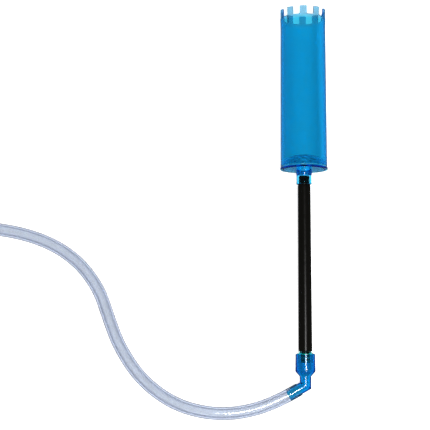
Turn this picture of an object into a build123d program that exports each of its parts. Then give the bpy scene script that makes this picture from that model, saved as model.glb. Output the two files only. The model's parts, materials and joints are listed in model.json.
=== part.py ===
from build123d import *
import math
import os

os.makedirs("parts", exist_ok=True)

# Aquarium gravel cleaner: a toothed suction tube on a telescopic rod, with an elbow for the siphon hose.
# Millimetres. The tool lies on the floor, z = 0, with its mouth towards +Y, resting on the edge of the
# end cap and on the widest ring of the elbow fitting. Stations along the tool start at the elbow's bend.

# Elbow fitting
bend_to_chamber = 11.1
chamber_cone_end = 17.2
chamber_top = 38.2
chamber_base_radius = 12.4
chamber_top_radius = 12.0
chamber_bore_radius = 9.15
chamber_floor = 18.5
elbow_angle = 60
elbow_outer_radius = 7.0
elbow_bore_radius = 4.4
hose_shoulder = 8.7
barb_tip = 24.7
barb_core_radius = 5.75
barb_ridge_radius = 6.2
barb_ridge_count = 6

# Rod socket in the chamber
socket_bottom = 27.9
socket_rim_top = 41.6
socket_rim_radius = 7.85
socket_shoulder_radius = 11.75
socket_bore_radius = 6.1
wiper_radius = 7.1
wiper_bottom = 39.2
wiper_top = 42.1

# Rods
inner_rod_radius = 6.0
inner_rod_bore_radius = 4.0
inner_rod_top = 227.0
stroke = 165.0
outer_rod_bottom = 42.2
outer_rod_shoulder = 250.0
outer_rod_bottom_radius = 8.55
outer_rod_top_radius = 7.95
outer_rod_bore_radius = 6.7
outer_rod_bore_top = 244.0
spigot_top = 260.3
spigot_radius = 7.0
spigot_bore_radius = 4.6

# Gland in the outer rod's mouth
gland_depth = 10.0
gland_radius = 7.4
bush_length = 8.4
seal_section_radius = 0.68

# End cap
neck_mouth = 250.4
neck_radius = 9.25
neck_bore_radius = 7.1
neck_bore_top = 261.0
cap_face = 268.4
cap_plate_top = 271.0
flange_radius = 29.75
plug_top = 276.5
plug_radius = 26.95
plug_wall = 1.7

# Gravel tube
tube_bottom = 273.0
tube_waist = 449.0
tooth_root = 462.0
mouth = 472.3
tube_bottom_radius = 29.05
tube_waist_radius = 28.23
mouth_radius = 28.84
tube_wall = 2.0
tooth_count = 10
tooth_gap_width = 8.95
tooth_turn = -2.8
gap_root_radius = 1.5
tooth_tip_radius = 0.5

# Clearance between bedded faces
bedding_gap = 0.03

# Strainer
strainer_height = 10.6
strainer_wall = 1.4
strainer_slot_count = 12

# Hose, with its put-away length in a coil of two turns on the floor and one on top of them
hose_radius = 8.0
hose_bore_radius = 6.0
coil_centre = (-500, -128)
coil_lift = 1.0
coil_outer_turn = 98
coil_inner_turn = 82
top_turn_start = -10
top_turn_end = 245
hose_end_length = 24

# The tool leans on its two contact rings
lean = math.atan2(flange_radius - chamber_base_radius, cap_plate_top - chamber_cone_end)
along = Vector(0, math.cos(lean), math.sin(lean))
above = Vector(0, -math.sin(lean), math.cos(lean))
bend_height = chamber_base_radius * math.cos(lean) - chamber_cone_end * math.sin(lean)
branch = along * -math.cos(math.radians(elbow_angle)) + Vector(-math.sin(math.radians(elbow_angle)), 0, 0)

# The origin is under the middle of the tool's length
far_y = along.Y * mouth + along.Z * mouth_radius
near_y = branch.Y * barb_tip - barb_core_radius * math.sin(math.radians(elbow_angle))
bend = Vector(0, -(far_y + near_y) / 2, bend_height)

tool_axis = Axis(bend, along)
tool_profile = Plane(origin=bend, x_dir=Vector(1, 0, 0), z_dir=above)
branch_axis = Axis(bend, branch)
branch_profile = Plane(origin=bend, x_dir=above, z_dir=above.cross(branch))


def across_tool(station):
    """Plane square to the tool at a station."""
    return Plane(origin=bend + along * station, x_dir=Vector(1, 0, 0), z_dir=along)


def on_branch(distance):
    """Point on the hose branch, at a distance from the bend."""
    return bend + branch * distance


# ---------------------------------------------------------------- gravel tube
with BuildPart() as gravel_tube:
    with BuildSketch(tool_profile):
        with BuildLine():
            Polyline(
                (tube_bottom_radius - tube_wall, tube_bottom),
                (tube_bottom_radius, tube_bottom),
                (tube_waist_radius, tube_waist),
                (mouth_radius, mouth),
                (mouth_radius - tube_wall, mouth),
                (tube_waist_radius - tube_wall, tube_waist),
                close=True,
            )
        make_face()
    revolve(axis=tool_axis)
    with BuildSketch(across_tool(tooth_root)):
        with PolarLocations(mouth_radius, tooth_count, start_angle=180 / tooth_count - 90 + tooth_turn):
            Rectangle(4 * tube_wall, tooth_gap_width)
    extrude(amount=mouth - tooth_root + 1, mode=Mode.SUBTRACT)
    for end_of_teeth, radius in ((0, gap_root_radius), (-1, tooth_tip_radius)):
        wall_edges = gravel_tube.edges().filter_by(lambda edge: edge.length < 2 * tube_wall)
        straight_edges = wall_edges.filter_by(GeomType.LINE)
        fillet(straight_edges.group_by(tool_axis)[end_of_teeth], radius=radius)
gravel_tube.part.label = "gravel_tube"
export_step(gravel_tube.part, "parts/gravel_tube.step")

# ---------------------------------------------------------------- end cap
with BuildPart() as tube_end_cap:
    with BuildSketch(tool_profile):
        with BuildLine():
            Polyline(
                (neck_bore_radius, neck_mouth),
                (neck_radius + 0.3, neck_mouth),
                (neck_radius + 0.3, neck_mouth + 1.2),
                (neck_radius, neck_mouth + 2.2),
                (neck_radius, neck_bore_top),
                (neck_radius + 0.8, neck_bore_top + 3.5),
                (neck_radius + 0.8, cap_face),
                (flange_radius - 0.4, cap_face),
                (flange_radius, cap_face + 0.4),
                (flange_radius, cap_plate_top),
                (plug_radius, cap_plate_top),
                (plug_radius, plug_top),
                (plug_radius - plug_wall, plug_top),
                (plug_radius - plug_wall, cap_plate_top),
                (spigot_bore_radius + 3, cap_plate_top),
                (spigot_bore_radius, cap_plate_top - 3),
                (spigot_bore_radius, neck_bore_top),
                (neck_bore_radius, neck_bore_top),
                close=True,
            )
        make_face()
    revolve(axis=tool_axis)
tube_end_cap.part.label = "tube_end_cap"
export_step(tube_end_cap.part, "parts/tube_end_cap.step")

# ---------------------------------------------------------------- seal between the cap and the tube
with BuildPart() as cap_seal:
    with BuildSketch(tool_profile):
        with BuildLine():
            Polyline(
                (plug_radius + bedding_gap, cap_plate_top + bedding_gap),
                (flange_radius - 1.4, cap_plate_top + bedding_gap),
                (flange_radius - 1.4, tube_bottom - bedding_gap),
                (plug_radius + bedding_gap, tube_bottom - bedding_gap),
                close=True,
            )
        make_face()
    revolve(axis=tool_axis)
    fillet(cap_seal.edges().filter_by(GeomType.CIRCLE).sort_by(SortBy.RADIUS)[-2:], radius=0.6)
cap_seal.part.label = "cap_seal"
export_step(cap_seal.part, "parts/cap_seal.step")

# ---------------------------------------------------------------- domed strainer on the cap's plug
strainer_inner_radius = plug_radius - strainer_wall
locating_rim_radius = plug_radius - plug_wall - bedding_gap
strainer_base = plug_top + bedding_gap
with BuildPart() as strainer_dome:
    with BuildSketch(tool_profile):
        with BuildLine():
            outer_arc = EllipticalCenterArc(
                (0, strainer_base), plug_radius, strainer_height, start_angle=0, arc_size=90
            )
            Line(outer_arc @ 1, (0, strainer_base + strainer_height - strainer_wall))
            inner_height = strainer_height - strainer_wall
            inner_arc = EllipticalCenterArc(
                (0, strainer_base), strainer_inner_radius, inner_height, start_angle=0, arc_size=90
            )
            Line(inner_arc @ 0, outer_arc @ 0)
        make_face()
    revolve(axis=tool_axis)
    with BuildSketch(across_tool(strainer_base)):
        with PolarLocations(15.5, strainer_slot_count):
            SlotOverall(14, 2.2)
        Circle(3)
    extrude(amount=strainer_height + 1, mode=Mode.SUBTRACT)
    with BuildSketch(tool_profile):
        with BuildLine():
            Polyline(
                (locating_rim_radius - 1.3, strainer_base - 2.5),
                (locating_rim_radius, strainer_base - 2.5),
                (locating_rim_radius, strainer_base),
                (strainer_inner_radius + 0.4, strainer_base),
                (strainer_inner_radius + 0.4, strainer_base + 0.8),
                (locating_rim_radius - 1.3, strainer_base + 0.8),
                close=True,
            )
        make_face()
    revolve(axis=tool_axis)
strainer_dome.part.label = "strainer_dome"
export_step(strainer_dome.part, "parts/strainer_dome.step")

# ---------------------------------------------------------------- outer rod
neck_ring_radius = 0.7
neck_ring_stations = (253.9, 257.7)
neck_groove_radius = spigot_radius + 0.08 - 2 * neck_ring_radius
with BuildPart() as outer_rod:
    with BuildSketch(tool_profile):
        with BuildLine():
            Polyline(
                (gland_radius, outer_rod_bottom),
                (outer_rod_bottom_radius - 0.3, outer_rod_bottom),
                (outer_rod_bottom_radius, outer_rod_bottom + 0.3),
                (outer_rod_top_radius, outer_rod_shoulder - 3),
                (outer_rod_top_radius - 0.35, outer_rod_shoulder),
                (spigot_radius, outer_rod_shoulder),
                (spigot_radius, spigot_top - 0.8),
                (spigot_radius - 0.8, spigot_top),
                (spigot_bore_radius, spigot_top),
                (spigot_bore_radius, outer_rod_bore_top),
                (outer_rod_bore_radius, outer_rod_bore_top),
                (outer_rod_bore_radius, outer_rod_bottom + gland_depth),
                (gland_radius, outer_rod_bottom + gland_depth),
                close=True,
            )
        make_face()
        for station in neck_ring_stations:
            with Locations((spigot_radius, station)):
                Rectangle(2 * (spigot_radius - neck_groove_radius), 1.7, mode=Mode.SUBTRACT)
    revolve(axis=tool_axis)
outer_rod.part.label = "outer_rod"
export_step(outer_rod.part, "parts/outer_rod.step")

# ---------------------------------------------------------------- O-rings on the outer rod's spigot
for number, station in enumerate(neck_ring_stations, start=1):
    with BuildPart() as neck_o_ring:
        with BuildSketch(tool_profile):
            with Locations((neck_groove_radius + neck_ring_radius, station)):
                Circle(neck_ring_radius)
        revolve(axis=tool_axis)
    neck_o_ring.part.label = f"neck_o_ring_{number}"
    export_step(neck_o_ring.part, f"parts/neck_o_ring_{number}.step")

# ---------------------------------------------------------------- guide bush in the outer rod's mouth
with BuildPart() as guide_bush:
    with BuildSketch(across_tool(outer_rod_bottom)):
        Circle(gland_radius)
        Circle(inner_rod_radius + 0.06, mode=Mode.SUBTRACT)
    extrude(amount=bush_length)
guide_bush.part.label = "guide_bush"
export_step(guide_bush.part, "parts/guide_bush.step")

# ---------------------------------------------------------------- sliding seal behind the bush
with BuildPart() as gland_seal:
    with BuildSketch(tool_profile):
        with Locations((gland_radius - seal_section_radius, outer_rod_bottom + gland_depth - 0.8)):
            Circle(seal_section_radius)
    revolve(axis=tool_axis)
gland_seal.part.label = "gland_seal"
export_step(gland_seal.part, "parts/gland_seal.step")

# ---------------------------------------------------------------- inner rod
fitting_ring_radius = 0.6
fitting_ring_stations = (31.3, 36.1)
fitting_groove_radius = inner_rod_radius + 0.06 - 2 * fitting_ring_radius
collar_bottom = outer_rod_bottom + gland_depth + stroke + 0.3
collar_seat_radius = inner_rod_radius - 0.6
with BuildPart() as inner_rod:
    with BuildSketch(tool_profile):
        with BuildLine():
            Polyline(
                (inner_rod_bore_radius, socket_bottom),
                (inner_rod_radius - 0.5, socket_bottom),
                (inner_rod_radius, socket_bottom + 0.5),
                (inner_rod_radius, collar_bottom),
                (collar_seat_radius, collar_bottom),
                (collar_seat_radius, inner_rod_top),
                (inner_rod_bore_radius, inner_rod_top),
                close=True,
            )
        make_face()
        for station in fitting_ring_stations:
            with Locations((inner_rod_radius, station)):
                Rectangle(2 * (inner_rod_radius - fitting_groove_radius), 1.5, mode=Mode.SUBTRACT)
    revolve(axis=tool_axis)
inner_rod.part.label = "inner_rod"
export_step(inner_rod.part, "parts/inner_rod.step")

# ---------------------------------------------------------------- stop collar on the inner rod's top
with BuildPart() as stop_collar:
    with BuildSketch(across_tool(collar_bottom)):
        Circle(outer_rod_bore_radius - 0.07)
        Circle(collar_seat_radius, mode=Mode.SUBTRACT)
    extrude(amount=inner_rod_top - collar_bottom)
    chamfer(stop_collar.edges().group_by(Axis.Y)[-1], length=0.3)
stop_collar.part.label = "stop_collar"
export_step(stop_collar.part, "parts/stop_collar.step")

# ---------------------------------------------------------------- O-rings on the inner rod's lower end
for number, station in enumerate(fitting_ring_stations, start=1):
    with BuildPart() as fitting_o_ring:
        with BuildSketch(tool_profile):
            with Locations((fitting_groove_radius + fitting_ring_radius, station)):
                Circle(fitting_ring_radius)
        revolve(axis=tool_axis)
    fitting_o_ring.part.label = f"fitting_o_ring_{number}"
    export_step(fitting_o_ring.part, f"parts/fitting_o_ring_{number}.step")

# ---------------------------------------------------------------- rod socket in the chamber's top
with BuildPart() as rod_socket:
    with BuildSketch(tool_profile):
        with BuildLine():
            Polyline(
                (socket_bore_radius, socket_bottom),
                (chamber_bore_radius - bedding_gap, socket_bottom),
                (chamber_bore_radius - bedding_gap, chamber_top + bedding_gap),
                (socket_shoulder_radius, chamber_top + bedding_gap),
                (socket_shoulder_radius, chamber_top + 0.6),
                (socket_rim_radius + 0.3, socket_rim_top - 1.9),
                (socket_rim_radius, socket_rim_top),
                (wiper_radius + bedding_gap, socket_rim_top),
                (wiper_radius + bedding_gap, wiper_bottom),
                (socket_bore_radius, wiper_bottom),
                close=True,
            )
        make_face()
    revolve(axis=tool_axis)
rod_socket.part.label = "rod_socket"
export_step(rod_socket.part, "parts/rod_socket.step")

# ---------------------------------------------------------------- wiper ring in the socket's rim
with BuildPart() as rod_wiper:
    with BuildSketch(across_tool(wiper_bottom + bedding_gap)):
        Circle(wiper_radius)
        Circle(inner_rod_radius + 0.06, mode=Mode.SUBTRACT)
    extrude(amount=wiper_top - wiper_bottom - bedding_gap)
rod_wiper.part.label = "rod_wiper"
export_step(rod_wiper.part, "parts/rod_wiper.step")

# ---------------------------------------------------------------- elbow fitting with its hose barb
with BuildPart() as elbow_fitting:
    with BuildLine():
        Polyline(on_branch(hose_shoulder), bend, bend + along * bend_to_chamber)
    with BuildSketch(Plane(origin=on_branch(hose_shoulder), z_dir=branch * -1)):
        Circle(elbow_outer_radius)
    sweep(transition=Transition.RIGHT)
    with BuildSketch(tool_profile):
        with BuildLine():
            Polyline(
                (0, bend_to_chamber - 1),
                (elbow_outer_radius, bend_to_chamber - 1),
                (elbow_outer_radius, bend_to_chamber),
                (chamber_base_radius, chamber_cone_end),
                (chamber_top_radius, chamber_top),
                (0, chamber_top),
                close=True,
            )
        make_face()
    revolve(axis=tool_axis)
    ridge_pitch = (barb_tip - hose_shoulder - 0.8) / barb_ridge_count
    with BuildSketch(branch_profile):
        with BuildLine():
            barb_outline = [(0, hose_shoulder - 1), (barb_core_radius, hose_shoulder - 1)]
            for ridge in range(barb_ridge_count):
                ridge_start = hose_shoulder + 0.8 + ridge * ridge_pitch
                barb_outline.append((barb_core_radius, ridge_start))
                barb_outline.append((barb_ridge_radius, ridge_start + 0.2 * ridge_pitch))
                barb_outline.append((barb_core_radius, ridge_start + 0.9 * ridge_pitch))
            barb_outline.append((barb_core_radius, barb_tip))
            barb_outline.append((0, barb_tip))
            Polyline(barb_outline, close=True)
        make_face()
    revolve(axis=branch_axis)
    with BuildSketch(tool_profile):
        with BuildLine():
            Polyline(
                (0, bend_to_chamber),
                (elbow_bore_radius, bend_to_chamber),
                (chamber_bore_radius, chamber_floor),
                (chamber_bore_radius, chamber_top + 1),
                (0, chamber_top + 1),
                close=True,
            )
        make_face()
    revolve(axis=tool_axis, mode=Mode.SUBTRACT)
    with BuildSketch(Plane(origin=bend, z_dir=along)):
        Circle(elbow_bore_radius)
    extrude(amount=bend_to_chamber + 1, mode=Mode.SUBTRACT)
    with BuildSketch(Plane(origin=bend, z_dir=branch)):
        Circle(elbow_bore_radius)
    extrude(amount=barb_tip + 1, mode=Mode.SUBTRACT)
    with Locations(bend):
        Sphere(elbow_bore_radius, mode=Mode.SUBTRACT)
elbow_fitting.part.label = "elbow_fitting"
export_step(elbow_fitting.part, "parts/elbow_fitting.step")

# ---------------------------------------------------------------- hose from the barb to the coil
hose_start = on_branch(hose_shoulder)
second_point = on_branch(42.7)
hose_points = [
    (hose_start.X, hose_start.Y, hose_start.Z),
    (second_point.X, second_point.Y, second_point.Z),
    (-80, -261.8, 8.3),
    (-120, -262.3, 8.1),
    (-163, -250.5, 8.1),
    (-203, -221, 8.1),
    (-230, -181, 8.1),
    (-243.5, -146, 8.1),
    (-258, -104, 8.1),
    (-290, -66, 8.1),
    (-335, -42, 8.1),
    (-392, -30, 8.4),
    (-449, -30, 9),
]


def bend_radii(points):
    """Largest tangent arc that each corner's two runs leave room for."""
    corners = [Vector(point) for point in points]
    radii = []
    for before, corner, after in zip(corners, corners[1:], corners[2:]):
        turn = math.radians((corner - before).get_angle(after - corner))
        shorter_run = min((corner - before).length, (after - corner).length)
        radii.append(0.45 * shorter_run / math.tan(turn / 2))
    return radii


hose_radii = bend_radii(hose_points)
print("hose bend radii:", [round(radius) for radius in hose_radii])

barb_clearance = 0.05
with BuildPart() as hose:
    with BuildLine() as hose_path:
        FilletPolyline(*hose_points, radius=hose_radii)
    with BuildSketch(Plane(origin=hose_start, z_dir=branch)):
        Circle(hose_radius)
    sweep()
    hose_path_length = sum(edge.length for edge in hose_path.edges())
    volume_ratio = hose.part.volume / (math.pi * hose_radius**2 * hose_path_length)
    print("hose run:", round(hose_path_length), "mm, volume / (section x length):", round(volume_ratio, 4))
    with BuildSketch(Plane(origin=hose_start, z_dir=branch)):
        Circle(barb_ridge_radius + barb_clearance)
    extrude(amount=barb_tip - hose_shoulder, mode=Mode.SUBTRACT)
hose.part.label = "hose"
export_step(hose.part, "parts/hose.step")

# ---------------------------------------------------------------- put-away coil of the hose
coil_level = coil_lift + hose_radius
coil_middle = (coil_inner_turn + coil_outer_turn) / 2
top_turn_level = coil_level + math.sqrt(4 * hose_radius**2 - ((coil_outer_turn - coil_inner_turn) / 2) ** 2)
coil_axis = Axis((coil_centre[0], coil_centre[1], 0), (0, 0, 1))


def coil_section(angle):
    """Upright plane through the coil's axis, its x pointing outwards at an angle."""
    outwards = Vector(math.cos(math.radians(angle)), math.sin(math.radians(angle)), 0)
    return Plane(origin=(*coil_centre, 0), x_dir=outwards, z_dir=outwards.cross(Vector(0, 0, 1)))


with BuildPart() as hose_coil:
    with BuildSketch(coil_section(0)):
        with Locations((coil_inner_turn, coil_level), (coil_outer_turn, coil_level)):
            Circle(hose_radius)
        with Locations((coil_middle, coil_level)):
            Rectangle(coil_outer_turn - coil_inner_turn, hose_radius)
    revolve(axis=coil_axis)
    with BuildSketch(coil_section(top_turn_start)):
        with Locations((coil_middle, top_turn_level)):
            Circle(hose_radius)
        with Locations((coil_middle, (coil_level + top_turn_level) / 2)):
            Rectangle(hose_radius, top_turn_level - coil_level)
    revolve(axis=coil_axis, revolution_arc=top_turn_end - top_turn_start)
hose_coil.part.label = "hose_coil"
export_step(hose_coil.part, "parts/hose_coil.step")

# ---------------------------------------------------------------- tail of the hose, off the coil to the floor
end_angle = math.radians(top_turn_end)
tail_outwards = Vector(math.cos(end_angle), math.sin(end_angle), 0)
tail_onwards = Vector(-math.sin(end_angle), math.cos(end_angle), 0)
tail_start = Vector(*coil_centre, 0) + tail_outwards * coil_middle
tail_steps = [(0, 0, top_turn_level), (22, 0, 24.7), (58, -1, 25.7), (106, -5, 8.1), (150, -13, 8.1)]
tail_points = []
for onwards, outwards, height in tail_steps:
    tail_points.append(tail_start + tail_onwards * onwards + tail_outwards * outwards + Vector(0, 0, height))
tail_radii = bend_radii(tail_points)
print("tail bend radii:", [round(radius) for radius in tail_radii])

end_direction = (tail_points[-1] - tail_points[-2]).normalized()
end_start = tail_points[-1] - end_direction * hose_end_length
with BuildPart() as hose_tail:
    with BuildLine():
        FilletPolyline(*tail_points, radius=tail_radii)
    with BuildSketch(Plane(origin=tail_points[0], z_dir=tail_points[1] - tail_points[0])):
        Circle(hose_radius)
    sweep()
    split(bisect_by=Plane(origin=end_start, z_dir=end_direction), keep=Keep.BOTTOM)
hose_tail.part.label = "hose_tail"
export_step(hose_tail.part, "parts/hose_tail.step")

# ---------------------------------------------------------------- free end of the hose, cut square
with BuildPart() as hose_end:
    with BuildSketch(Plane(origin=end_start, z_dir=end_direction)):
        Circle(hose_radius)
        Circle(hose_bore_radius, mode=Mode.SUBTRACT)
    extrude(amount=hose_end_length)
hose_end.part.label = "hose_end"
export_step(hose_end.part, "parts/hose_end.step")

# ---------------------------------------------------------------- strap that ties the coil
tie_angle = 195
tie_width = 16
tie_thickness = 0.9
tie_gap = 0.6
tie_half_width = coil_middle - coil_inner_turn + hose_radius + tie_gap
tie_outline = [
    (-tie_half_width, tie_thickness),
    (tie_half_width, tie_thickness),
    (tie_half_width, coil_level + 3),
    (hose_radius + tie_gap, top_turn_level + 3),
    (hose_radius / 2, top_turn_level + hose_radius + tie_gap),
    (-hose_radius / 2, top_turn_level + hose_radius + tie_gap),
    (-hose_radius - tie_gap, top_turn_level + 3),
    (-tie_half_width, coil_level + 3),
]
with BuildPart() as hose_tie:
    with BuildSketch(coil_section(tie_angle)):
        with Locations((coil_middle, 0)):
            Polygon(*tie_outline, align=None)
        offset(amount=tie_thickness, kind=Kind.INTERSECTION)
        with Locations((coil_middle, 0)):
            Polygon(*tie_outline, align=None, mode=Mode.SUBTRACT)
    extrude(amount=tie_width / 2, both=True)
hose_tie.part.label = "hose_tie"
export_step(hose_tie.part, "parts/hose_tie.step")
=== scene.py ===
"""Looks of the aquarium gravel cleaner: tinted translucent tube and fittings, black rod, clear hose.

The tool lies on the floor with its mouth towards +Y. All values are metres in the model's own frame.
"""
import json
import math

import bmesh
import bpy
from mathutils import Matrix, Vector


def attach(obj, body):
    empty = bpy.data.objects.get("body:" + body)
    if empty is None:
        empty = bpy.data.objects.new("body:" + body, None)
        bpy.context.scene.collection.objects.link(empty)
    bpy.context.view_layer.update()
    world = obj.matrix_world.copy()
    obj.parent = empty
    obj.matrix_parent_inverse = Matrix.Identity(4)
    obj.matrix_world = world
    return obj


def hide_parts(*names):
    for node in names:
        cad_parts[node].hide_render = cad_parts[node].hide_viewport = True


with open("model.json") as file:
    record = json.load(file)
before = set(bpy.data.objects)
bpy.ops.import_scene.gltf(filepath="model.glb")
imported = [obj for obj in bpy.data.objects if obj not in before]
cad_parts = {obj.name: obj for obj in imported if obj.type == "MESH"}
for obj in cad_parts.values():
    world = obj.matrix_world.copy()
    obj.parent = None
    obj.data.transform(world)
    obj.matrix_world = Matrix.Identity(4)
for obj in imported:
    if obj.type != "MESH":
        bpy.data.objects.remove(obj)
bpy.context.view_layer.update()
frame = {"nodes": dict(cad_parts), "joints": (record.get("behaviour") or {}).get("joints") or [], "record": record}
nodes = frame["nodes"]
scene = bpy.context.scene


# ------------------------------------------------------------------ the tool's axis, from the model
swivel = next(joint for joint in frame["joints"] if joint["name"] == "rod_swivel")
BEND = Vector(swivel["pos_m"])
ALONG = Vector(swivel["axis"]).normalized()
SIDE = Vector((1, 0, 0))
UP = Vector((0, 0, 1))
ELBOW_TURN = math.radians(60)
LEAN = math.atan2(ALONG.z, ALONG.y)
BRANCH = ALONG * -math.cos(ELBOW_TURN) - SIDE * math.sin(ELBOW_TURN)


def on_tool(station):
    """Point on the tool's axis, at a distance from the elbow's bend."""
    return BEND + ALONG * station


# ------------------------------------------------------------------ camera
VIEW_TILT = math.radians(6.5)
VIEW_DISTANCE = 1.675
VIEW_STATION, VIEW_OFFSET = 0.2115, 0.1117
VIEW_CENTRE = on_tool(VIEW_STATION) - SIDE * VIEW_OFFSET
FOCAL_LENGTH = 112.19
SENSOR_WIDTH = 36


def add_camera():
    """Camera over the tool, leaning a little towards the elbow's end."""
    elevation = math.pi / 2 - VIEW_TILT - LEAN
    camera = bpy.data.objects.new("camera", bpy.data.cameras.new("camera"))
    scene.collection.objects.link(camera)
    camera.location = VIEW_CENTRE + VIEW_DISTANCE * Vector((0, -math.cos(elevation), math.sin(elevation)))
    camera.rotation_euler = (math.pi / 2 - elevation, 0, 0)
    camera.data.lens = FOCAL_LENGTH
    camera.data.sensor_width = SENSOR_WIDTH
    scene.camera = camera


add_camera()


# ------------------------------------------------------------------ hose
HOSE_RADIUS = 0.008
HOSE_BORE = 0.006
BARB_GRIP = 0.00565
BARB_SWELL = 0.0001
GRIP_FADE = 0.002
HOSE_SHOULDER = 0.0087
SHOULDER_GAP = 0.00015
BARB_TIP = 0.0247
SECOND_POINT = 0.0427
HOSE_SIDES = 40
ROUTE_RESOLUTION = 8
CORNER_ANGLE = math.radians(40)
COIL_CENTRE = Vector((-0.500, -0.128, 0))
COIL_OUTER, COIL_INNER, COIL_MIDDLE = 0.098, 0.082, 0.090
COIL_FLOOR, COIL_TOP = 0.009, 0.02286
COIL_POINTS_PER_TURN = 16
TAIL_ANGLE = 245
COIL_START, COIL_END = 90, TAIL_ANGLE + 720
TURN_INWARDS, TURN_UPWARDS = (390, 450), (690, 750)
HUMP_RISE, HUMP_FALL = (735, 775), (785, 825)
CROSSING_HUMP = 0.0022

hose_start = BEND + BRANCH * (HOSE_SHOULDER + SHOULDER_GAP)
second_point = BEND + BRANCH * SECOND_POINT
run_points = [
    tuple(hose_start),
    tuple(second_point),
    (-0.080, -0.2618, 0.0083),
    (-0.120, -0.2623, 0.0081),
    (-0.163, -0.2505, 0.0081),
    (-0.203, -0.221, 0.0081),
    (-0.230, -0.181, 0.0081),
    (-0.2435, -0.146, 0.0081),
    (-0.258, -0.104, 0.0081),
    (-0.290, -0.066, 0.0081),
    (-0.335, -0.042, 0.0081),
    (-0.392, -0.030, 0.0084),
    (-0.449, -0.030, 0.009),
]


def ease(value, start, end):
    """0 before start, 1 after end, smooth between."""
    t = min(max((value - start) / (end - start), 0), 1)
    return t * t * (3 - 2 * t)


def coil_place(angle):
    """Radius and height of the hose's centreline in the coil, over two turns on the floor and one on top."""
    inwards = ease(angle, *TURN_INWARDS)
    upwards = ease(angle, *TURN_UPWARDS)
    hump = ease(angle, *HUMP_RISE) - ease(angle, *HUMP_FALL)
    radius = COIL_OUTER + (COIL_INNER - COIL_OUTER) * inwards + (COIL_MIDDLE - COIL_INNER) * upwards
    height = COIL_FLOOR + (COIL_TOP - COIL_FLOOR) * upwards + CROSSING_HUMP * hump
    return radius, height


def coil_points():
    """Control points of the coil, from where the hose joins it to where its top turn ends."""
    step = 360 / COIL_POINTS_PER_TURN
    spread = 1 / math.cos(math.radians(step / 2))
    points = []
    angle = COIL_START - step / 2
    while angle < COIL_END - step / 2:
        radius, height = coil_place(angle)
        turn = math.radians(angle)
        outwards = Vector((math.cos(turn), math.sin(turn), 0))
        points.append(tuple(COIL_CENTRE + outwards * radius * spread + UP * height))
        angle += step
    return points


def tail_points():
    """The last stretch, which leaves the top turn and comes down to the floor."""
    turn = math.radians(TAIL_ANGLE)
    outwards = Vector((math.cos(turn), math.sin(turn), 0))
    onwards = Vector((-math.sin(turn), math.cos(turn), 0))
    start = COIL_CENTRE + outwards * COIL_MIDDLE
    steps = [(0, 0, COIL_TOP), (0.022, 0, 0.0247), (0.058, -0.001, 0.0257), (0.106, -0.005, 0.0081)]
    steps.append((0.150, -0.013, 0.0081))
    return [tuple(start + onwards * on + outwards * out + Vector((0, 0, up))) for on, out, up in steps]


def smooth_line(points, resolution):
    """Points along the NURBS spline of a route, as Blender makes them."""
    curve = bpy.data.curves.new("route", "CURVE")
    curve.dimensions = "3D"
    curve.resolution_u = resolution
    spline = curve.splines.new("NURBS")
    spline.points.add(len(points) - 1)
    for point, place in zip(spline.points, points):
        point.co = (*place, 1)
    spline.order_u = 3
    spline.use_endpoint_u = True
    carrier = bpy.data.objects.new("route", curve)
    mesh = bpy.data.meshes.new_from_object(carrier)
    line = [vertex.co.copy() for vertex in mesh.vertices]
    bpy.data.objects.remove(carrier)
    bpy.data.curves.remove(curve)
    bpy.data.meshes.remove(mesh)
    return line


def ring_frames(line):
    """A normal and a binormal at each point of a line, with no twist between them."""
    frames = []
    normal = UP.copy()
    for index, point in enumerate(line):
        ahead = line[min(index + 1, len(line) - 1)]
        behind = line[max(index - 1, 0)]
        tangent = (ahead - behind).normalized()
        normal = (normal - tangent * normal.dot(tangent)).normalized()
        frames.append((normal.copy(), tangent.cross(normal)))
    return frames


def link_mesh(name, work, smooth=True):
    """A new object with a bmesh's faces, smooth but for its corners."""
    bmesh.ops.recalc_face_normals(work, faces=work.faces)
    for edge in work.edges:
        edge.smooth = edge.calc_face_angle(0) < CORNER_ANGLE
    mesh = bpy.data.meshes.new(name)
    work.to_mesh(mesh)
    work.free()
    for polygon in mesh.polygons:
        polygon.use_smooth = smooth
    piece = bpy.data.objects.new(name, mesh)
    scene.collection.objects.link(piece)
    return piece


def bridge(work, first, second):
    """Quads between two rings of the same count."""
    count = len(first)
    for index in range(count):
        following = (index + 1) % count
        work.faces.new((first[index], first[following], second[following], second[index]))


def make_hose():
    """The whole hose as a tube with a real bore, which grips the barb where it's pushed over it."""
    route = run_points + coil_points() + tail_points()
    line = smooth_line(route, ROUTE_RESOLUTION)
    work = bmesh.new()
    outer_rings, inner_rings = [], []
    travelled = 0
    frames = ring_frames(line)
    for index, point in enumerate(line):
        if index:
            travelled += (point - line[index - 1]).length
        grip = 1 - ease(travelled, BARB_TIP - HOSE_SHOULDER, BARB_TIP - HOSE_SHOULDER + GRIP_FADE)
        inner = HOSE_BORE + (BARB_GRIP - HOSE_BORE) * grip
        outer = HOSE_RADIUS + BARB_SWELL * grip
        normal, binormal = frames[index]
        for radius, rings in ((outer, outer_rings), (inner, inner_rings)):
            ring = []
            for side in range(HOSE_SIDES):
                turn = 2 * math.pi * side / HOSE_SIDES
                outwards = normal * math.cos(turn) + binormal * math.sin(turn)
                ring.append(work.verts.new(point + radius * outwards))
            rings.append(ring)
    for rings in (outer_rings, inner_rings):
        for first, second in zip(rings, rings[1:]):
            bridge(work, first, second)
    bridge(work, outer_rings[0], inner_rings[0])
    bridge(work, outer_rings[-1], inner_rings[-1])
    return link_mesh("siphon_hose", work), line


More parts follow.
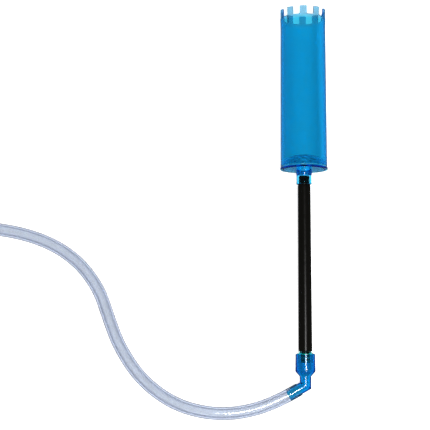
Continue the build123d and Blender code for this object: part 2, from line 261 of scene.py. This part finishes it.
# ------------------------------------------------------------------ strap round the coil
STRAP_TURN = math.radians(195)
STRAP_WIDTH = 0.016
STRAP_THICKNESS = 0.0008
STRAP_HEM = 0.0014
STRAP_SLACK = 0.0001
STRAP_STEPS = 14
LAP_FIRST, LAP_LAST = 22, 35
LAP_STEPS = 24
LAP_END_SHARE = 0.3
STRAP_OUT = Vector((math.cos(STRAP_TURN), math.sin(STRAP_TURN), 0))
STRAP_ACROSS = Vector((-math.sin(STRAP_TURN), math.cos(STRAP_TURN), 0))


def strap_line(distance):
    """Closed line round the coil's three turns, at a distance from their centres, with its normals."""
    turns = [(COIL_INNER - COIL_MIDDLE, COIL_FLOOR), (COIL_OUTER - COIL_MIDDLE, COIL_FLOOR), (0, COIL_TOP)]
    line = []
    for index, (out, up) in enumerate(turns):
        before, after = turns[index - 1], turns[(index + 1) % len(turns)]
        start = math.atan2(before[0] - out, up - before[1])
        end = math.atan2(out - after[0], after[1] - up)
        sweep = (end - start) % (2 * math.pi)
        for step in range(STRAP_STEPS + 1):
            turn = start + sweep * step / STRAP_STEPS
            normal = STRAP_OUT * math.cos(turn) + UP * math.sin(turn)
            centre = COIL_CENTRE + STRAP_OUT * (COIL_MIDDLE + out) + UP * up
            line.append((centre + normal * distance, normal))
    return line


def band_ring(work, place, normal, half_width):
    """Section of the webbing at one place: a flat middle between two thicker, rounded hems."""
    thin, thick = STRAP_THICKNESS * 0.36, STRAP_THICKNESS * 0.5
    hem = min(STRAP_HEM, half_width * 0.4)
    top = [
        (-half_width, 0),
        (-half_width + 0.1 * hem, 0.7 * thick),
        (-half_width + 0.35 * hem, thick),
        (-half_width + 0.75 * hem, thick),
        (-half_width + hem, thin),
        (half_width - hem, thin),
        (half_width - 0.75 * hem, thick),
        (half_width - 0.35 * hem, thick),
        (half_width - 0.1 * hem, 0.7 * thick),
    ]
    section = top + [(-across, -out) for across, out in top]
    return [work.verts.new(place + STRAP_ACROSS * across + normal * out) for across, out in section]


def make_strap():
    """Woven strap round the coil, with its loose end lapped over its outer side."""
    work = bmesh.new()
    distance = HOSE_RADIUS + STRAP_SLACK + STRAP_THICKNESS / 2
    rings = [band_ring(work, place, normal, STRAP_WIDTH / 2) for place, normal in strap_line(distance)]
    for first, second in zip(rings, rings[1:] + rings[:1]):
        bridge(work, first, second)
    lap = strap_line(distance + STRAP_THICKNESS)[LAP_FIRST : LAP_LAST + 1]
    start, end = lap[0][0], lap[-1][0]
    rings = []
    for step in range(LAP_STEPS + 1):
        along_lap = step / LAP_STEPS * (len(lap) - 1)
        index = min(int(along_lap), len(lap) - 2)
        share = along_lap - index
        place = lap[index][0].lerp(lap[index + 1][0], share)
        normal = lap[index][1].lerp(lap[index + 1][1], share).normalized()
        from_end = min((place - start).length, (place - end).length) / (STRAP_WIDTH / 2)
        roundness = math.sqrt(1 - (1 - min(from_end, 1)) ** 2) if from_end < 1 else 1
        rings.append(band_ring(work, place, normal, STRAP_WIDTH / 2 * max(roundness, LAP_END_SHARE)))
    for first, second in zip(rings, rings[1:]):
        bridge(work, first, second)
    work.faces.new(rings[0])
    work.faces.new(list(reversed(rings[-1])))
    return link_mesh("coil_strap", work)


hose_strap = make_strap()
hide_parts("hose_tie")
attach(hose_strap, "fitting")

hose, hose_line = make_hose()
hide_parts("hose", "hose_coil", "hose_tail", "hose_end")
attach(hose, "fitting")


# ------------------------------------------------------------------ materials
NOISE_LOW, NOISE_HIGH = 0.3, 0.7
TOOTH_ROOT = 0.462
TEETH_FADE_BELOW, TEETH_FADE_ABOVE = 0.005, 0.001
WEAVE_SCALE = 260.0
GLOSS_SCALE, RIPPLE_SCALE = 160.0, 60.0
RELIEF_DEPTH = 0.0003


def new_material(name):
    """A node material, with its tree and its Principled shader."""
    material = bpy.data.materials.new(name)
    material.use_nodes = True
    tree = material.node_tree
    shader = next(node for node in tree.nodes if node.type == "BSDF_PRINCIPLED")
    return material, tree, shader


def noise(tree, scale, detail=2.0):
    """Noise over the object's own coordinates."""
    place = tree.nodes.new("ShaderNodeTexCoord")
    texture = tree.nodes.new("ShaderNodeTexNoise")
    texture.inputs["Scale"].default_value = scale
    texture.inputs["Detail"].default_value = detail
    tree.links.new(place.outputs["Object"], texture.inputs["Vector"])
    return texture


def spread_to(tree, texture, low, high):
    """A noise's usual values spread between two numbers."""
    spread = tree.nodes.new("ShaderNodeMapRange")
    spread.inputs["From Min"].default_value = NOISE_LOW
    spread.inputs["From Max"].default_value = NOISE_HIGH
    spread.inputs["To Min"].default_value = low
    spread.inputs["To Max"].default_value = high
    tree.links.new(texture.outputs["Fac"], spread.inputs["Value"])
    return spread.outputs["Result"]


def bump(tree, shader, height, strength, distance):
    """Relief on the shader from a height."""
    relief = tree.nodes.new("ShaderNodeBump")
    relief.inputs["Strength"].default_value = strength
    relief.inputs["Distance"].default_value = distance
    tree.links.new(height, relief.inputs["Height"])
    tree.links.new(relief.outputs["Normal"], shader.inputs["Normal"])


def clear_material(name, ior, roughness, ripple, absorption):
    """A clear plastic: its tint builds up with the thickness, and its surface has faint moulding ripples."""
    material, tree, shader = new_material(name)
    shader.inputs["Base Color"].default_value = (1, 1, 1, 1)
    shader.inputs["Transmission Weight"].default_value = 1.0
    shader.inputs["IOR"].default_value = ior
    tree.links.new(spread_to(tree, noise(tree, GLOSS_SCALE), *roughness), shader.inputs["Roughness"])
    bump(tree, shader, noise(tree, RIPPLE_SCALE).outputs["Fac"], ripple, RELIEF_DEPTH)
    tint = tree.nodes.new("ShaderNodeVolumeAbsorption")
    density = max(absorption)
    tint.inputs["Color"].default_value = (*[1 - loss / density for loss in absorption], 1)
    tint.inputs["Density"].default_value = density
    output = next(node for node in tree.nodes if node.type == "OUTPUT_MATERIAL")
    tree.links.new(tint.outputs["Volume"], output.inputs["Volume"])
    return material


def painted_edge_shade(tree, stops):
    """Painted shade on a clear tube: its surface tint darkens towards its edges, by how far the surface turns from
    the eye.

    The stops' places run from 0, where the surface faces the eye, to 1, edge on.
    """
    facing = tree.nodes.new("ShaderNodeLayerWeight")
    facing.inputs["Blend"].default_value = 0.5
    ramp = tree.nodes.new("ShaderNodeValToRGB")
    while len(ramp.color_ramp.elements) < len(stops):
        ramp.color_ramp.elements.new(0.5)
    for element, (place, colour) in zip(ramp.color_ramp.elements, stops):
        element.position = place
        element.color = (*colour, 1)
    tree.links.new(facing.outputs["Facing"], ramp.inputs["Fac"])
    return ramp.outputs["Color"]


def tint_paler_on_teeth(tree, tint, teeth_tint):
    """A surface tint that changes to a paler one on the mouth's teeth."""
    place = tree.nodes.new("ShaderNodeTexCoord")
    station = tree.nodes.new("ShaderNodeVectorMath")
    station.operation = "DOT_PRODUCT"
    station.inputs[1].default_value = ALONG
    teeth_share = tree.nodes.new("ShaderNodeMapRange")
    teeth_share.inputs["From Min"].default_value = ALONG.dot(on_tool(TOOTH_ROOT - TEETH_FADE_BELOW))
    teeth_share.inputs["From Max"].default_value = ALONG.dot(on_tool(TOOTH_ROOT + TEETH_FADE_ABOVE))
    blend = tree.nodes.new("ShaderNodeMixRGB")
    blend.inputs["Color1"].default_value = (*tint, 1)
    blend.inputs["Color2"].default_value = (*teeth_tint, 1)
    tree.links.new(place.outputs["Object"], station.inputs[0])
    tree.links.new(station.outputs["Value"], teeth_share.inputs["Value"])
    tree.links.new(teeth_share.outputs["Result"], blend.inputs["Fac"])
    return blend.outputs["Color"]


def tint_surface(material, tint):
    """Give a material's surface a tint."""
    tree = material.node_tree
    shader = next(node for node in tree.nodes if node.type == "BSDF_PRINCIPLED")
    tree.links.new(tint, shader.inputs["Base Color"])


def black_plastic():
    """Satin black moulding with a fine haze of handling marks."""
    material, tree, shader = new_material("black_plastic")
    shader.inputs["Base Color"].default_value = (0.004, 0.0038, 0.0032, 1)
    shader.inputs["Specular IOR Level"].default_value = 0.09
    tree.links.new(spread_to(tree, noise(tree, 220.0, 4.0), 0.18, 0.26), shader.inputs["Roughness"])
    bump(tree, shader, noise(tree, 90.0).outputs["Fac"], 0.12, RELIEF_DEPTH)
    return material


def woven_strap():
    """Black nylon webbing: crossed ribs across and round the strap, matt, with a soft sheen."""
    material, tree, shader = new_material("tie_strap")
    shader.inputs["Roughness"].default_value = 0.85
    shader.inputs["Sheen Weight"].default_value = 0.25
    place = tree.nodes.new("ShaderNodeTexCoord")
    turned = tree.nodes.new("ShaderNodeMapping")
    turned.inputs["Rotation"].default_value = (0, 0, -STRAP_TURN)
    tree.links.new(place.outputs["Object"], turned.inputs["Vector"])
    ribs = []
    for direction in ("Y", "Z"):
        wave = tree.nodes.new("ShaderNodeTexWave")
        wave.bands_direction = direction
        wave.inputs["Scale"].default_value = WEAVE_SCALE
        wave.inputs["Distortion"].default_value = 0.6
        tree.links.new(turned.outputs["Vector"], wave.inputs["Vector"])
        ribs.append(wave.outputs["Fac"])
    weave = tree.nodes.new("ShaderNodeMath")
    weave.operation = "MULTIPLY"
    tree.links.new(ribs[0], weave.inputs[0])
    tree.links.new(ribs[1], weave.inputs[1])
    shade = tree.nodes.new("ShaderNodeMix")
    shade.data_type = "RGBA"
    shade.inputs["A"].default_value = (0.012, 0.012, 0.015, 1)
    shade.inputs["B"].default_value = (0.045, 0.045, 0.052, 1)
    tree.links.new(weave.outputs["Value"], shade.inputs["Factor"])
    tree.links.new(shade.outputs["Result"], shader.inputs["Base Color"])
    bump(tree, shader, weave.outputs["Value"], 0.6, RELIEF_DEPTH)
    return material


def plain_surface(name, colour, specular, low, high, grain):
    """An opaque surface with a fine grain in its gloss and relief."""
    material, tree, shader = new_material(name)
    shader.inputs["Base Color"].default_value = (*colour, 1)
    shader.inputs["Specular IOR Level"].default_value = specular
    tree.links.new(spread_to(tree, noise(tree, grain, 3.0), low, high), shader.inputs["Roughness"])
    bump(tree, shader, noise(tree, grain * 2).outputs["Fac"], 0.2, 0.0002)
    return material


# Absorption of each plastic per metre, in red, green and blue
BLUE_TINT = (720, 262, 108)
PALE_BLUE_TINT = (450, 88, 22)
SOCKET_TINT = (560, 50, 45)
SMOKE_TINT = (150, 70, 140)
SEAL_TINT = (500, 150, 70)
HOSE_TINT = (30, 25, 12)

# Surface tints, which multiply the light that goes through
# paler tint on the mouth's teeth, in place of the body's
TEETH_BLUE = (1.0, 0.85, 0.83)
BODY_BLUE = (0.25, 0.97, 0.97)
# painted shade: the smoke plastic's tint darkens towards its edges, by how the surface faces the eye
SMOKE_PAINTED_SHADE = [(0.1, (1, 1, 1)), (0.25, (0.62, 0.66, 0.63)), (0.6, (0.2, 0.22, 0.2))]
# the hose's lilac-grey tint in its middle, with painted shade deepening towards its edges by how the surface faces
# the eye
HOSE_PAINTED_SHADE = [
    (0.03, (0.84, 0.87, 0.91)),
    (0.13, (0.76, 0.80, 0.87)),
    (0.33, (0.46, 0.50, 0.58)),
    (0.6, (0.16, 0.19, 0.25)),
]

tinted = clear_material("tinted_plastic", 1.3, (0.09, 0.13), 0.03, BLUE_TINT)
pale_tinted = clear_material("pale_tinted_plastic", 1.3, (0.05, 0.09), 0.06, PALE_BLUE_TINT)
socket_blue = clear_material("socket_plastic", 1.3, (0.09, 0.13), 0.03, SOCKET_TINT)
smoke = clear_material("smoke_plastic", 1.3, (0.06, 0.1), 0.06, SMOKE_TINT)
silicone = clear_material("clear_silicone", 1.3, (0.25, 0.35), 0.1, SEAL_TINT)
pvc = clear_material("clear_pvc", 1.45, (0.05, 0.09), 0.1, HOSE_TINT)
# the body's tint, turning paler on the mouth's teeth
tint_surface(tinted, tint_paler_on_teeth(tinted.node_tree, BODY_BLUE, TEETH_BLUE))
# painted shade on the smoke plastic and the hose, darker where the surface turns edge on
tint_surface(smoke, painted_edge_shade(smoke.node_tree, SMOKE_PAINTED_SHADE))
tint_surface(pvc, painted_edge_shade(pvc.node_tree, HOSE_PAINTED_SHADE))
black = black_plastic()
strap = woven_strap()
rubber = plain_surface("seal_rubber", (0.006, 0.006, 0.007), 0.15, 0.45, 0.65, 400.0)
acetal = plain_surface("guide_acetal", (0.5, 0.51, 0.52), 0.5, 0.35, 0.5, 300.0)

finishes = {
    "blue_plastic": tinted,
    "black_plastic": black,
    "seal_rubber": rubber,
    "guide_plastic": acetal,
    "pale_blue_plastic": pale_tinted,
    "smoke_plastic": smoke,
    "clear_seal": silicone,
    "clear_hose": pvc,
    "tie_strap": strap,
}
for part in frame["record"]["subparts"]:
    node = nodes[part["node"]]
    node.data.materials.clear()
    node.data.materials.append(finishes[part["material_slot"]])
nodes["rod_socket"].data.materials[0] = socket_blue
hose.data.materials.append(pvc)
hose_strap.data.materials.append(strap)


# ------------------------------------------------------------------ floor and light
FLOOR_HALF_SIZE = 6
FLOOR_GLOW = 0.72
ROOM_LIGHT = 0.12
# Name, place, target, size and power of each soft light
LIGHTS = [
    ("front_soft", (-0.1, -2.2, 1.9), (-0.1, 0, 0), (1.6, 1.0), 10),
    ("back_soft", (-0.1, 2.2, 1.9), (-0.1, 0, 0), (1.6, 1.0), 10),
    ("overhead_soft", (0.11, -0.42, 1.72), (0.11, -0.42, 0), (0.44, 0.46), 28),
]


def add_floor():
    """White floor, faintly glowing like a light table, that the plastics don't mirror."""
    work = bmesh.new()
    bmesh.ops.create_grid(work, x_segments=1, y_segments=1, size=FLOOR_HALF_SIZE)
    floor = link_mesh("floor", work, smooth=False)
    material, _, shader = new_material("floor_white")
    shader.inputs["Base Color"].default_value = (0.9, 0.9, 0.9, 1)
    shader.inputs["Roughness"].default_value = 0.7
    shader.inputs["Specular IOR Level"].default_value = 0.1
    shader.inputs["Emission Color"].default_value = (1, 1, 1, 1)
    shader.inputs["Emission Strength"].default_value = FLOOR_GLOW
    floor.data.materials.append(material)
    floor.visible_glossy = False


def add_area(name, place, target, size, power):
    """A rectangular soft light aimed at a point."""
    light = bpy.data.lights.new(name, "AREA")
    light.shape = "RECTANGLE"
    light.size, light.size_y = size
    light.energy = power
    holder = bpy.data.objects.new(name, light)
    holder.location = place
    holder.rotation_euler = (Vector(target) - Vector(place)).to_track_quat("-Z", "Y").to_euler()
    scene.collection.objects.link(holder)


def add_world(strength):
    """Even, dim room light."""
    world = bpy.data.worlds.new("room")
    world.use_nodes = True
    background = next(node for node in world.node_tree.nodes if node.type == "BACKGROUND")
    background.inputs["Color"].default_value = (1, 1, 1, 1)
    background.inputs["Strength"].default_value = strength
    scene.world = world


add_floor()
add_world(ROOM_LIGHT)
for soft_light in LIGHTS:
    add_area(*soft_light)
scene.view_settings.view_transform = "Standard"
